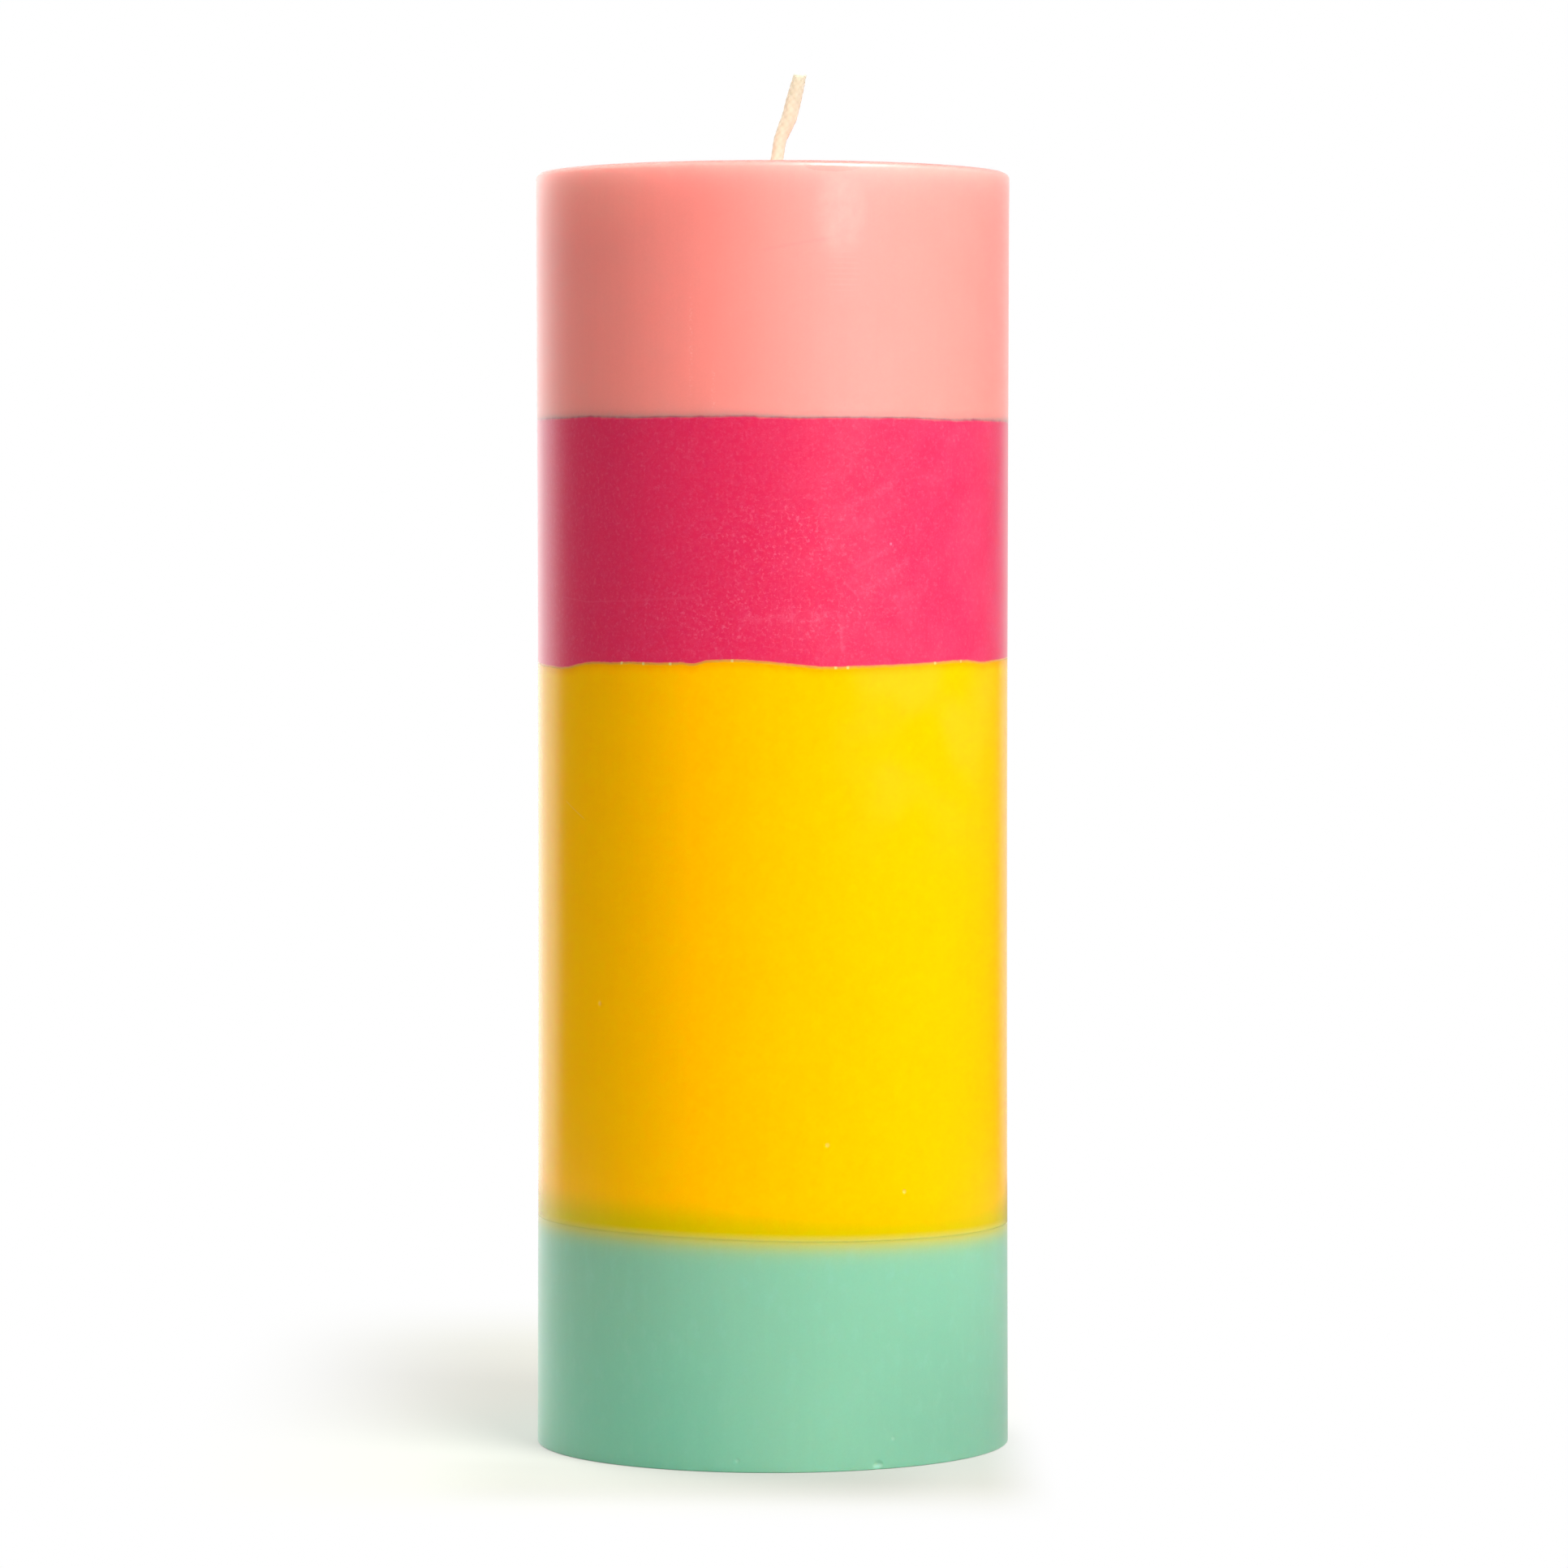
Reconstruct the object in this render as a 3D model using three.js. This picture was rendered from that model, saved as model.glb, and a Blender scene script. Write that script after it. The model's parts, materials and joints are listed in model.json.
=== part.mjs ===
// A free-standing pillar candle, cast in four coloured layers of wax round a cotton wick.
// Millimetres, +Z up. The origin is the middle of the foot, and the front of the candle faces -Y.

import * as THREE from "three";
import { toCreasedNormals } from "three/addons/utils/BufferGeometryUtils.js";

// The layers, each measured at the wall, from the foot up
const mintHeight = 35.4;
const yellowHeight = 87.9;
const magentaHeight = 37.8;
const pinkHeight = 38.9;

// The wall and the two ends of the candle
const candleRadius = 37.25;
const waist = 0.2; // how far the wall draws in halfway up
const rimRound = 1.1; // radius of the rounded rim
const footRound = 0.4; // radius of the sharper edge at the foot
const rimLand = 6; // width of the level ring inside the rim
const topDip = 0.8; // how far the top then sinks towards the wick
const collarRise = 0.5; // wax drawn up round the wick
const collarWidth = 1.8;

// Each layer shrank as it cooled, so the seam above it stands this much higher at the wick
const pourSink = 1.2;

// The largest wave of each seam on its way round, from its mean height to a crest
const yellowMintWave = 0.6;
const magentaYellowWave = 0.4;
const pinkMagentaWave = 0.25;

// The wick: a flat braid, straight inside the wax
const wickWidth = 1.9;
const wickThickness = 1.6;
const wickClearance = 0.3; // between the wick and whatever it passes through

// The wick's free end, in runs from the wax up
const rootLength = 2.9;
const lowerLength = 2.8;
const bentLength = 3.9;
const upperLength = 3.6;
const tipLength = 3.5;
const braidSwell = 0.5; // how much wider the braid is where it has opened most

// The sustainer: a stamped tab with a neck crimped on the wick, sunk into the foot
const tabRadius = 9.5;
const tabThickness = 0.3;
const tabLift = 0.5; // from the surface that the candle stands on to the tab's underside
const neckLength = 6;
const neckWall = 0.3;
const tabClearance = 0.3; // between the sustainer and the wax round it

// Fineness of the surfaces
const stepsRound = 72;
const wickSides = 12;
const creaseAngle = THREE.MathUtils.degToRad(35);

// Each seam: its height at the wall, the size of its largest wave, and its waves, as crests on
// the way round, the share of that size, and the place of one crest in degrees from the front
// towards +X
const yellowMintSeam = {
  height: mintHeight,
  largest: yellowMintWave,
  waves: [
    { crests: 1, share: 1, place: -80 },
    { crests: 3, share: 0.12, place: -40 },
  ],
};
const magentaYellowSeam = {
  height: yellowMintSeam.height + yellowHeight,
  largest: magentaYellowWave,
  waves: [
    { crests: 1, share: 0.6, place: 24 },
    { crests: 4, share: 1, place: -21 },
    { crests: 8, share: 0.5, place: -4 },
    { crests: 11, share: 0.3, place: -10 },
  ],
};
const pinkMagentaSeam = {
  height: magentaYellowSeam.height + magentaHeight,
  largest: pinkMagentaWave,
  waves: [
    { crests: 1, share: 1, place: -125 },
    { crests: 9, share: 0.4, place: -11 },
  ],
};
const candleHeight = pinkMagentaSeam.height + pinkHeight;

// Each run of the wick's free end: its lean from upright in degrees towards +X, and the share of
// the swell that the braid has at the run's upper end
const wickRuns = [
  { length: rootLength, lean: 14, opening: 0 },
  { length: lowerLength, lean: 8.5, opening: 0 },
  { length: bentLength, lean: 22.5, opening: 1 },
  { length: upperLength, lean: 14, opening: 0.8 },
  { length: tipLength, lean: 14, opening: 0.2 },
];

// Round the wick, from the inside out
const boreRadius = wickWidth / 2 + wickClearance;
const neckRadius = boreRadius + neckWall;
const pocketRadius = neckRadius + tabClearance;
const recessRadius = tabRadius + tabClearance;

// Up from the surface that the candle stands on
const tabTop = tabLift + tabThickness;
const recessTop = tabTop + tabClearance;
const neckTop = tabTop + neckLength;
const pocketTop = neckTop + tabClearance;

function wallRadius(height) {
  return candleRadius - waist * Math.sin((Math.PI * height) / candleHeight);
}

function waveRise(seam, angle) {
  const fromFront = angle + Math.PI / 2;
  let rise = 0;
  for (const { crests, share, place } of seam.waves) {
    rise += share * seam.largest * Math.cos(crests * (fromFront - THREE.MathUtils.degToRad(place)));
  }
  return rise;
}

// The points of a seam from the bore to the wall. The layers on both sides use the same ones.
function seamPoints(seam, angle) {
  const runs = 3;
  const wall = wallRadius(seam.height);
  const points = [];
  for (let run = 0; run <= runs; run += 1) {
    const radius = THREE.MathUtils.lerp(boreRadius, wall, run / runs);
    const outwards = (radius / wall) ** 2;
    const height = seam.height + waveRise(seam, angle) * outwards + pourSink * (1 - outwards);
    points.push([radius, height]);
  }
  return points;
}

// The wall's points between two heights, without the two ends
function wallPoints(low, high, runs) {
  const points = [];
  for (let run = 1; run < runs; run += 1) {
    const height = THREE.MathUtils.lerp(low, high, run / runs);
    points.push([wallRadius(height), height]);
  }
  return points;
}

// A quarter round from one angle to the next, about a centre given as radius and height
function quarterRound(centre, round, start, runs) {
  const points = [];
  for (let run = 0; run <= runs; run += 1) {
    const turn = start + (Math.PI / 2) * (run / runs);
    points.push([centre[0] + round * Math.cos(turn), centre[1] + round * Math.sin(turn)]);
  }
  return points;
}

function footPoints() {
  const wall = wallRadius(footRound);
  return [
    [boreRadius, pocketTop],
    [pocketRadius, pocketTop],
    [pocketRadius, recessTop],
    [recessRadius, recessTop],
    [recessRadius, 0],
    ...quarterRound([wall - footRound, footRound], footRound, -Math.PI / 2, 2),
  ];
}

function topPoints() {
  const runs = 4;
  const wall = wallRadius(candleHeight - rimRound);
  const rim = quarterRound([wall - rimRound, candleHeight - rimRound], rimRound, 0, 4);
  const landRadius = wall - rimLand;
  const collarRadius = boreRadius + collarWidth;
  const points = [...rim];
  for (let run = 0; run <= runs; run += 1) {
    const inwards = run / runs;
    const radius = THREE.MathUtils.lerp(landRadius, collarRadius, inwards);
    points.push([radius, candleHeight - (topDip * (1 - Math.cos(Math.PI * inwards))) / 2]);
  }
  points.push([boreRadius, candleHeight - topDip + collarRise]);
  return points;
}

// A ring of wax. Its outline runs round the section with the wax on its left, and may change
// a little with the angle, because the seams rise and fall. Each square between two steps is
// split from its inner corner here to its outer corner there, so two layers meet face to face.
function waxRing(outlineAt) {
  const positions = [];
  const faces = [];
  for (let step = 0; step < stepsRound; step += 1) {
    const angle = (2 * Math.PI * step) / stepsRound;
    const outline = outlineAt(angle);
    const here = step * outline.length;
    const there = ((step + 1) % stepsRound) * outline.length;
    outline.forEach(([radius, height], point) => {
      positions.push(radius * Math.cos(angle), radius * Math.sin(angle), height);
      const after = (point + 1) % outline.length;
      if (outline[after][0] > radius) {
        faces.push(here + point, there + point, there + after);
        faces.push(here + point, there + after, here + after);
      } else {
        faces.push(here + point, there + point, here + after);
        faces.push(there + point, there + after, here + after);
      }
    });
  }
  return closedGeometry(positions, faces);
}

function closedGeometry(positions, faces) {
  const geometry = new THREE.BufferGeometry();
  geometry.setAttribute("position", new THREE.Float32BufferAttribute(positions, 3));
  geometry.setIndex(faces);
  return toCreasedNormals(geometry, creaseAngle);
}

function mintGeometry() {
  return waxRing((angle) => [
    ...footPoints(),
    ...wallPoints(footRound, yellowMintSeam.height, 2),
    ...seamPoints(yellowMintSeam, angle).reverse(),
  ]);
}

function middleGeometry(lowSeam, highSeam, wallRuns) {
  return waxRing((angle) => [
    ...seamPoints(lowSeam, angle),
    ...wallPoints(lowSeam.height, highSeam.height, wallRuns),
    ...seamPoints(highSeam, angle).reverse(),
  ]);
}

function pinkGeometry() {
  return waxRing((angle) => [
    ...seamPoints(pinkMagentaSeam, angle),
    ...wallPoints(pinkMagentaSeam.height, candleHeight - rimRound, 2),
    ...topPoints(),
  ]);
}

// One oval cut through the wick, square to a line that leans towards +X
function wickSection(centre, lean, width) {
  const across = new THREE.Vector3(Math.cos(lean), 0, -Math.sin(lean));
  const through = new THREE.Vector3(0, 1, 0);
  const points = [];
  for (let side = 0; side < wickSides; side += 1) {
    const turn = (2 * Math.PI * side) / wickSides;
    const point = centre.clone();
    point.addScaledVector(across, (width / 2) * Math.cos(turn));
    point.addScaledVector(through, (wickThickness / 2) * Math.sin(turn));
    points.push(point);
  }
  return points;
}

// The wick runs straight up from the sustainer, leans through its runs above the wax, and is
// trimmed level at the top. Each bend is cut at the mean of the leans that meet there.
function wickSections() {
  const waxTop = candleHeight - topDip + collarRise;
  const foot = new THREE.Vector3(0, 0, tabLift);
  const end = new THREE.Vector3(0, 0, waxTop);
  const sections = [wickSection(foot, 0, wickWidth), wickSection(end, 0, wickWidth)];
  wickRuns.forEach((run, index) => {
    const lean = THREE.MathUtils.degToRad(run.lean);
    const isLast = index === wickRuns.length - 1;
    const nextLean = isLast ? -lean : THREE.MathUtils.degToRad(wickRuns[index + 1].lean);
    end.x += run.length * Math.sin(lean);
    end.z += run.length * Math.cos(lean);
    sections.push(wickSection(end, (lean + nextLean) / 2, wickWidth + braidSwell * run.opening));
  });
  return sections;
}

function wickGeometry() {
  const sections = wickSections();
  const positions = sections.flat().flatMap((point) => point.toArray());
  const faces = [];
  for (let section = 0; section < sections.length - 1; section += 1) {
    const low = section * wickSides;
    const high = low + wickSides;
    for (let side = 0; side < wickSides; side += 1) {
      const after = (side + 1) % wickSides;
      faces.push(low + side, low + after, high + side);
      faces.push(low + after, high + after, high + side);
    }
  }
  const last = (sections.length - 1) * wickSides;
  for (let side = 1; side < wickSides - 1; side += 1) {
    faces.push(0, side + 1, side);
    faces.push(last, last + side, last + side + 1);
  }
  return closedGeometry(positions, faces);
}

function sustainerGeometry() {
  const outline = [
    [boreRadius, tabLift],
    [tabRadius, tabLift],
    [tabRadius, tabTop],
    [neckRadius, tabTop],
    [neckRadius, neckTop],
    [boreRadius, neckTop],
    [boreRadius, tabLift],
  ];
  const points = outline.map(([radius, height]) => new THREE.Vector2(radius, height));
  const geometry = new THREE.LatheGeometry(points, stepsRound);
  geometry.rotateX(Math.PI / 2);
  return geometry;
}

const waxFinish = { roughness: 0.32, metalness: 0 };
const pinkWax = new THREE.MeshStandardMaterial({ color: 0xf9a699, ...waxFinish });
const magentaWax = new THREE.MeshStandardMaterial({ color: 0xf0446c, ...waxFinish });
const yellowWax = new THREE.MeshStandardMaterial({ color: 0xffc808, ...waxFinish });
const mintWax = new THREE.MeshStandardMaterial({ color: 0x93cfae, ...waxFinish });
const waxedCotton = new THREE.MeshStandardMaterial({ color: 0xf6e0c6, roughness: 0.6, metalness: 0 });
const tinnedSteel = new THREE.MeshStandardMaterial({ color: 0xc4c6c8, roughness: 0.35, metalness: 1 });

function named(name, geometry, material) {
  const mesh = new THREE.Mesh(geometry, material);
  mesh.name = name;
  return mesh;
}

const candle = new THREE.Group();
candle.name = "pillar_candle";
candle.add(named("mint_layer", mintGeometry(), mintWax));
candle.add(named("yellow_layer", middleGeometry(yellowMintSeam, magentaYellowSeam, 4), yellowWax));
candle.add(named("magenta_layer", middleGeometry(magentaYellowSeam, pinkMagentaSeam, 2), magentaWax));
candle.add(named("pink_layer", pinkGeometry(), pinkWax));
candle.add(named("wick", wickGeometry(), waxedCotton));
candle.add(named("wick_sustainer", sustainerGeometry(), tinnedSteel));

export default candle;
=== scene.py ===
"""A pillar candle of four poured layers of wax, with a braided wick on a stamped steel sustainer.

Sizes are in millimetres and a mesh becomes metres once it is shaped. +Z is up, the front of the
candle faces -Y, and places round the candle are degrees from the front towards +X.
"""

import json
import math

import bmesh
import bpy
from mathutils import Euler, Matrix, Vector, noise

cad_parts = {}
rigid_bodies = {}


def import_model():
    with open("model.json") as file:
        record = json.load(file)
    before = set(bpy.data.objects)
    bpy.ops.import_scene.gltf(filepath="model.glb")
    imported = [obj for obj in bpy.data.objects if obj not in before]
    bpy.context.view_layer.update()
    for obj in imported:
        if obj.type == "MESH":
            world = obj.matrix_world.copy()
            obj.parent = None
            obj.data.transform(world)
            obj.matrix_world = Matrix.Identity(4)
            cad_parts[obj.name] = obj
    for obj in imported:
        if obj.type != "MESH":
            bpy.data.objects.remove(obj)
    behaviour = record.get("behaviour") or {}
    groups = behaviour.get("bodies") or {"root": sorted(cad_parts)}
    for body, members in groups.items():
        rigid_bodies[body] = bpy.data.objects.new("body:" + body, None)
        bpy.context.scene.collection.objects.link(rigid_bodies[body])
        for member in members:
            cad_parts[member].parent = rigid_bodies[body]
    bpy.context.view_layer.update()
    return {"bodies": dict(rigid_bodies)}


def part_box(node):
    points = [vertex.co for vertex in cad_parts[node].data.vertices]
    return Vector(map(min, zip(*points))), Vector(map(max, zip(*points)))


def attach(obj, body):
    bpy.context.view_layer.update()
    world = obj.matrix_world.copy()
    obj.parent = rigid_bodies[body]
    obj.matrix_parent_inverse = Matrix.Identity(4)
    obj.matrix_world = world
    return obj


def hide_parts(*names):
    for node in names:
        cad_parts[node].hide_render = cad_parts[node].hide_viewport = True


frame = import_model()

MM = 0.001
body = next(iter(frame["bodies"]))


def height_range(node):
    """The lowest and the highest point of a part of the frame."""
    low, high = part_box(node)
    return low.z / MM, high.z / MM


# Sizes that the frame gives
candle_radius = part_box("mint_layer")[1].x / MM
candle_height = height_range("pink_layer")[1]
wick_bottom, wick_top = height_range("wick")
tab_bottom, neck_top = height_range("wick_sustainer")
tab_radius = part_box("wick_sustainer")[1].x / MM

# The layers at the wall, from the foot up
mint_height = 35.4
yellow_height = 87.9
magenta_height = 37.9
waist = 0.2  # how far the wall draws in halfway up
hollow_depth = 0.02  # how far the mould's faint hollows lie inside a true round
pour_sink = 1.2  # how much higher each seam stands at the wick

# The two ends of the wax
rim_round = 0.9
foot_round = 0.2
rim_land = 6  # the level ring inside the rim
top_dip = 0.8
collar_rise = 0.5
collar_width = 1.8
dip_height = candle_height - top_dip
wax_top = dip_height + collar_rise

# The bore for the wick, and the sustainer's sheet, its neck, its stamped bead and its crimps
bore_radius = 1.25
sheet = 0.3
neck_radius = bore_radius + sheet
mouth_round = 0.4
bead_radius = 6.2
bead_half_width = 0.9
bead_rise = 0.12
crimp_height = 4.4
crimp_reach = 1.3
crimp_gap = 0.02  # what a crimp leaves between the neck and the wick

# The wax round the sustainer and round the wick
tab_clearance = 0.3
pocket_radius = neck_radius + tab_clearance
pocket_top = neck_top + tab_clearance
recess_radius = tab_radius + tab_clearance
recess_top = 1.1
recess_bevel = 0.25
wax_grip = 0.12  # how far the wax at the top closes into the surface of the braid
grip_depth = 2  # how far down it does so, before the bore opens over the next millimetre

# The wick: the lengths and the leans towards +X of its stretches above the wax
wick_width = 1.9
wick_thickness = 1.6
wick_stretches = [(2.9, 14), (2.8, 8.5), (3.9, 22.5), (7.1, 14)]
bend_softness = 1.2
free_swell = 0.1  # how much wider it is out of the wax
open_swell = 0.45  # how much wider still, where its strands open above the bend
opening = (5, 9.2)  # the heights above the wax over which they open
closing = (17, 11.5)  # and those over which they draw together, from the upper one down
trim_squeeze = 0.08  # how far the blade has drawn its end in
fray = 0.03  # how unevenly its strands end

# Its braid
strands_each_way = 6
braid_pitch = 7.1
strand_bulge = 0.06
strand_lift = 0.03
strand_melt = 0.02  # how softly the strands and the wax between them meet
wax_fill = 0.03
bare_from = 2  # how far above the candle's top the gaps are no longer filled
braid_depth = strand_bulge + strand_lift - wax_fill
wick_marks = ("gap", "soaked", "cut")  # what the braid's mesh tells its shader

# How finely the meshes are cut, and the angle from which an edge is a crease
spin_steps = 60
fineness = 8  # how many strips each step of a spin is cut into
wall_step = 0.8
hidden_step = 4.5
tab_step = 0.5
wick_sides = 64
wick_rows = 240
hidden_rows = 0.2  # the share of them that is inside the wax
end_rings = 6  # on the wick's cut end, each as wide as this share of its radius
end_ring_width = 0.15
pit_refinement = 1.8  # how far round a pit the mesh is made finer, as a share of its reach
crease_angle = math.radians(35)

# The seams: height at the wall, the waves on the way round, each as its number of crests, its size
# and the place of a crest, and the notches, each as its place, its half width in degrees and its depth
yellow_mint_seam = {
    "height": mint_height,
    "waves": [(1, 0.6, -80), (3, 0.072, -40)],
    "notches": [],
}
magenta_yellow_seam = {
    "height": mint_height + yellow_height,
    "waves": [(1, 0.24, 24), (4, 0.4, -21), (8, 0.2, -4), (11, 0.12, -10)],
    "notches": [(-60, 9, 0.25), (-42, 7, 0.2), (-19, 3.5, 0.35), (13, 9, 0.15), (61, 9, 0.3)],
}
pink_magenta_seam = {
    "height": mint_height + yellow_height + magenta_height,
    "waves": [(1, 0.25, -125), (9, 0.08, -11), (17, 0.04, -6)],
    "notches": [],
}

# Wax colours as they are written, red, green and blue from 0 to 255
PINK = (239, 141, 133)
MAGENTA = (212, 37, 86)
YELLOW = (255, 184, 0)
MINT = (130, 185, 157)

# White as a shader takes it, and how strongly wax bends light
WHITE = (1, 1, 1, 1)
wax_ior = 1.45

# What is seen on the wall is whole down to the first depth and gone from the second, so that it
# doesn't run over the top and the underside
wall_skin = 1
wall_fade = 3


def linear(colour):
    """A colour from 0 to 255 as a shader takes it."""
    shares = [value / 255 for value in colour]
    return [s / 12.92 if s <= 0.04045 else ((s + 0.055) / 1.055) ** 2.4 for s in shares] + [1]


def eased(value, low, high):
    """0 up to low and 1 from high, or the other way round where high is the lower one."""
    share = max(0, min(1, (value - low) / (high - low)))
    return share * share * (3 - 2 * share)


# Shapes


def wall_radius(height):
    """The radius of the wall at a height, without the mould's hollows."""
    return candle_radius - waist * math.sin(math.pi * height / candle_height)


def seam_rise(seam, place, radius):
    """How far a seam stands above its mean height at the wall."""
    outwards = (radius / wall_radius(seam["height"])) ** 2
    wave = sum(
        size * math.cos(crests * (place - math.radians(crest)))
        for crests, size, crest in seam["waves"]
    )
    for middle, half_width, depth in seam["notches"]:
        off = abs(math.degrees(place) - middle)
        wave -= depth * eased(off, half_width, 0)
    return wave * outwards + pour_sink * (1 - outwards)


def arc(centre, radius, start, end, runs):
    """Points of (radius, height) along an arc, with its angles in degrees."""
    turns = [math.radians(start + (end - start) * run / runs) for run in range(runs + 1)]
    return [(centre[0] + radius * math.cos(t), centre[1] + radius * math.sin(t)) for t in turns]


def spun(outline, step_length):
    """A ring spun from a closed outline, whose long stretches are cut into steps. Each step of the
    spin is then cut into strips, which are moved out from the flats to the true round."""
    ring = bmesh.new()
    corners = [ring.verts.new((radius, 0, height)) for radius, height in outline]
    stretches = zip(corners, corners[1:] + corners[:1])
    for edge in [ring.edges.new(pair) for pair in stretches]:
        low, high = (vert.co for vert in edge.verts)
        cuts = int(edge.calc_length() / step_length(low, high))
        if cuts:
            bmesh.ops.subdivide_edges(ring, edges=[edge], cuts=cuts)
    bmesh.ops.spin(
        ring,
        geom=ring.verts[:] + ring.edges[:],
        cent=(0, 0, 0),
        axis=(0, 0, 1),
        dvec=(0, 0, 0),
        angle=math.tau,
        steps=spin_steps,
        use_merge=True,
        use_duplicate=False,
    )
    bmesh.ops.remove_doubles(ring, verts=ring.verts, dist=1e-5)
    around = [edge for edge in ring.edges if goes_round(edge)]
    bmesh.ops.subdivide_edges(ring, edges=around, cuts=fineness - 1)
    half = math.pi / spin_steps
    for vert in ring.verts:
        off_middle = math.atan2(vert.co.y, vert.co.x) % (2 * half) - half
        rounding = math.cos(off_middle) / math.cos(half)
        vert.co.x *= rounding
        vert.co.y *= rounding
    bmesh.ops.recalc_face_normals(ring, faces=ring.faces)
    return ring


def goes_round(edge):
    """Whether an edge runs round the candle's axis."""
    first, second = (vert.co for vert in edge.verts)
    return abs(first.z - second.z) < 1e-4 and abs(first.xy.length - second.xy.length) < 1e-4


def wax_step(low, high):
    """Fine steps on the wall and on the top, and coarse ones where the wax is hidden."""
    on_wall = min(low.x, high.x) > candle_radius - 2 * rim_round
    on_top = min(low.z, high.z) > dip_height - 0.01
    return wall_step if on_wall or on_top else hidden_step


def wax_ring(outline, low_seam, high_seam, low, high):
    """A layer of wax, whose ends rise and fall with their seams and whose wall draws in."""
    ring = spun(outline, wax_step)
    for vert in ring.verts:
        radius = math.hypot(vert.co.x, vert.co.y)
        place = math.atan2(vert.co.x, -vert.co.y)
        share = (vert.co.z - low) / (high - low)
        height = vert.co.z
        if low_seam:
            vert.co.z += seam_rise(low_seam, place, radius) * max(0, 1 - share)
        if high_seam:
            vert.co.z += seam_rise(high_seam, place, radius) * min(1, share)
        if radius > candle_radius - rim_round / 2:
            drawn_in = candle_radius - wall_radius(height) + mould_hollow(vert.co)
            vert.co.x *= 1 - drawn_in / radius
            vert.co.y *= 1 - drawn_in / radius
    return ring


def mould_hollow(point):
    """How far a faint hollow of the mould lies inside a true round."""
    slow = noise.noise(Vector((point.x, point.y, point.z * 0.5)) * 0.045 + Vector((3, 7, 11)))
    return hollow_depth * max(0, min(1, 0.5 + slow))


def press(mesh, place, height, reach, depth):
    """Presses a small bowl into the wall, on a finer mesh of its own."""
    turn = math.radians(place)
    outwards = Vector((math.sin(turn), -math.cos(turn), 0))
    middle = outwards * wall_radius(height) + Vector((0, 0, height))
    near = [
        edge
        for edge in mesh.edges
        if all((vert.co - middle).length < reach * pit_refinement for vert in edge.verts)
    ]
    bmesh.ops.subdivide_edges(mesh, edges=near, cuts=3, use_grid_fill=True)
    for vert in mesh.verts:
        share = (vert.co - middle).length / reach
        if share < 1:
            vert.co -= outwards * depth * (1 - share * share) ** 2


def pitted(mesh, pits):
    """Presses the small pits of a layer into its wall."""
    for pit in pits:
        press(mesh, *pit[:2], pit_reach, pit_depth)


def finished(name, mesh, material, node):
    """Turns a shaped mesh into a piece in metres that stands for a part of the frame."""
    bmesh.ops.scale(mesh, vec=(MM, MM, MM), verts=mesh.verts)
    for edge in mesh.edges:
        edge.smooth = edge.is_manifold and edge.calc_face_angle() < crease_angle
    for face in mesh.faces:
        face.smooth = True
    data = bpy.data.meshes.new(name)
    mesh.to_mesh(data)
    mesh.free()
    data.materials.append(material)
    piece = bpy.data.objects.new(name, data)
    bpy.context.scene.collection.objects.link(piece)
    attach(piece, body)
    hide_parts(node)
    return piece


# Shaders


class Wire:
    """A socket that carries a value. Sums, products and the like of wires add Math nodes."""

    def __init__(self, shade, socket):
        self.shade = shade
        self.socket = socket

    def __add__(self, other):
        return self.shade.math("ADD", self, other)

    __radd__ = __add__

    def __sub__(self, other):
        return self.shade.math("SUBTRACT", self, other)

    def __rsub__(self, other):
        return self.shade.math("SUBTRACT", other, self)

    def __mul__(self, other):
        return self.shade.math("MULTIPLY", self, other)

    __rmul__ = __mul__

    def __truediv__(self, other):
        return self.shade.math("DIVIDE", self, other)

    def __rtruediv__(self, other):
        return self.shade.math("DIVIDE", other, self)


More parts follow.
